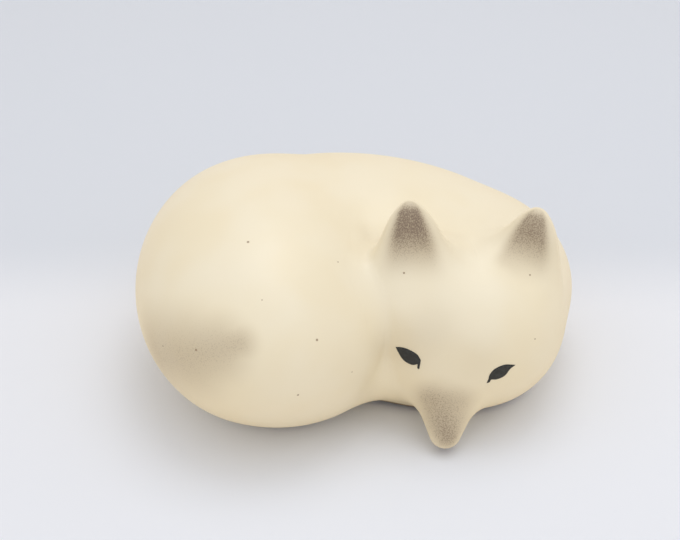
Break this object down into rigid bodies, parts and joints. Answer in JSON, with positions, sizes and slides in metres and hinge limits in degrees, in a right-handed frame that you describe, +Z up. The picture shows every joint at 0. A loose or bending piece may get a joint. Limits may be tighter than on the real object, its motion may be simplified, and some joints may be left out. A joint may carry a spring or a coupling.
{
  "type": "fox figurine",
  "caption": "Sleeping fox curled up with its chin on the table, hollow cast and glazed, with luted pointed ears and raised enamel eyes.",
  "frame": {"origin": "on the table plane, under the middle of the figurine's plan box", "axes": "+Z up, +X along the long side towards the viewer's right, -Y towards the viewer whom the face looks at"},
  "size_m": [0.168, 0.1374, 0.0889],
  "materials": {
    "ivory_glaze": "satin",
    "black_enamel": "gloss",
    "felt": "matte"
  },
  "bodies": {
    "root": {"body_shell": "ivory_glaze", "head_shell": "ivory_glaze", "left_ear": "ivory_glaze", "right_ear": "ivory_glaze", "left_eye": "black_enamel", "right_eye": "black_enamel", "felt_pad_1": "felt", "felt_pad_2": "felt", "felt_pad_3": "felt", "felt_pad_4": "felt"}
  },
  "joints": []
}
